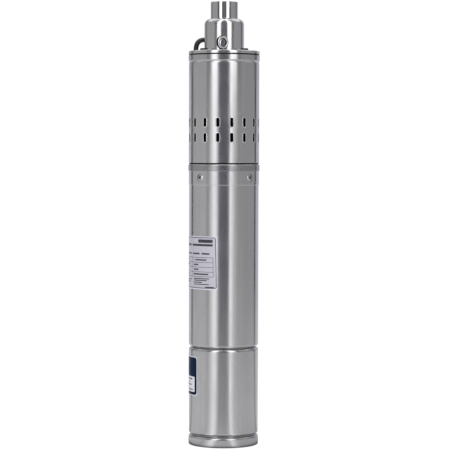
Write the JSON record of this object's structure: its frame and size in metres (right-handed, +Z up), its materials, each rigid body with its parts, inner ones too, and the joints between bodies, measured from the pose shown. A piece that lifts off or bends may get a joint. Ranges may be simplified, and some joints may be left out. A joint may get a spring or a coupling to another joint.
{
  "type": "borehole submersible pump",
  "caption": "Slender stainless borehole pump: threaded outlet and neck on a slotted strainer sleeve, long motor casing, rope eyes, supply cable and an inner helical screw drive.",
  "frame": {"origin": "centre of the flat base that the pump stands on", "axes": "+Z up the pump's axis towards the outlet, -Y towards the pictured front, +X to that view's right"},
  "size_m": [0.0922, 0.2455, 0.5741],
  "materials": {
    "turned_steel": "turned stainless steel",
    "brass": "turned brass",
    "rubber": "black nitrile rubber",
    "brushed_tube": "vertically brushed stainless tube",
    "capacitor_can": "white plastic can",
    "moulding": "dark moulded plastic",
    "lead_insulation": "coloured core insulation",
    "housing_iron": "machined cast iron",
    "bearing_steel": "ground bearing steel",
    "core_steel": "stacked electrical sheet",
    "copper": "enamelled copper wire, soaked in varnish",
    "aluminium": "die-cast aluminium",
    "shaft_steel": "ground stainless steel",
    "fastener_steel": "dark stainless fasteners",
    "ceramic": "white ceramic",
    "carbon": "carbon graphite",
    "spring_steel": "spring steel",
    "screw_chrome": "hard-chromed screw",
    "polished_head": "polished stainless casting",
    "polished_eyes": "polished stainless bar",
    "white_label": "pale printed film",
    "blue_label": "navy printed film",
    "cable_sheath": "black cable sheath"
  },
  "bodies": {
    "pump_body": {"bottom_cap": "turned_steel", "filler_plug": "brass", "casing_orings": "rubber", "lower_casing": "brushed_tube", "capacitor": "capacitor_can", "capacitor_holder": "moulding", "capacitor_leads": "lead_insulation", "lower_bearing_housing": "housing_iron", "spring_washer": "bearing_steel", "lower_bearing_outer_ring": "bearing_steel", "motor_casing": "brushed_tube", "stator_core": "core_steel", "stator_windings": "copper", "thermal_protector": "moulding", "upper_bearing_housing": "turned_steel", "upper_bearing_outer_ring": "bearing_steel", "casing_screws": "fastener_steel", "seal_seat": "ceramic", "seal_seat_cup": "rubber", "seal_cover": "turned_steel", "cover_screws": "fastener_steel", "stator_tube": "shaft_steel", "stator_lining": "rubber", "suction_cage": "moulding", "sleeve_gasket": "rubber", "strainer_sleeve": "brushed_tube", "tie_bolts": "fastener_steel", "outlet_head": "polished_head", "head_oring": "rubber", "head_gasket": "rubber", "rope_eyes": "polished_eyes", "rating_label": "white_label", "colour_label": "blue_label", "cable_grommet": "rubber", "cable_bung": "rubber", "inner_cable": "cable_sheath", "supply_cable": "cable_sheath", "cable_coil": "cable_sheath", "cable_tail": "cable_sheath", "cable_cores": "lead_insulation"},
    "motor_rotor": {"motor_shaft": "shaft_steel", "rotor_core": "core_steel", "rotor_cage": "aluminium", "lower_bearing_inner_ring": "bearing_steel", "upper_bearing_inner_ring": "bearing_steel", "seal_face_ring": "carbon", "seal_bellows": "rubber", "seal_spring": "spring_steel", "seal_retainer": "spring_steel", "sand_flinger": "rubber", "lower_drive_socket": "shaft_steel", "lower_drive_pins": "shaft_steel"},
    "upper_ball_cage": {"upper_bearing_balls": "bearing_steel"},
    "lower_ball_cage": {"lower_bearing_balls": "bearing_steel"},
    "orbit_carrier": {"joint_balls": "bearing_steel"},
    "drive_rod": {"drive_rod": "shaft_steel"},
    "pump_screw": {"screw_rotor": "screw_chrome", "upper_drive_socket": "shaft_steel", "upper_drive_pins": "shaft_steel"}
  },
  "joints": [
    {"name": "motor_spin", "type": "hinge", "parent": "pump_body", "child": "motor_rotor", "pos_m": [0, 0, 0.2256], "axis": [0, 0, 1], "continuous": true},
    {"name": "lower_cage_spin", "type": "hinge", "parent": "pump_body", "child": "lower_ball_cage", "pos_m": [0, 0, 0.1276], "axis": [0, 0, 1], "continuous": true},
    {"name": "upper_cage_spin", "type": "hinge", "parent": "pump_body", "child": "upper_ball_cage", "pos_m": [0, 0, 0.328], "axis": [0, 0, 1], "continuous": true},
    {"name": "screw_orbit", "type": "hinge", "parent": "pump_body", "child": "orbit_carrier", "pos_m": [0, 0, 0.39205], "axis": [0, 0, 1], "continuous": true},
    {"name": "rod_turn", "type": "hinge", "parent": "orbit_carrier", "child": "drive_rod", "pos_m": [0, 0, 0.39205], "axis": [0.0624, 0, 0.9981], "continuous": true},
    {"name": "screw_turn", "type": "hinge", "parent": "orbit_carrier", "child": "pump_screw", "pos_m": [0.002, 0, 0.42405], "axis": [0, 0, 1], "continuous": true}
  ],
  "couplings": [
    {"joint": "lower_cage_spin", "follows": "motor_spin", "ratio": 0.381},
    {"joint": "upper_cage_spin", "follows": "motor_spin", "ratio": 0.38158},
    {"joint": "screw_orbit", "follows": "motor_spin", "ratio": -1},
    {"joint": "rod_turn", "follows": "motor_spin", "ratio": 2},
    {"joint": "screw_turn", "follows": "motor_spin", "ratio": 2}
  ]
}
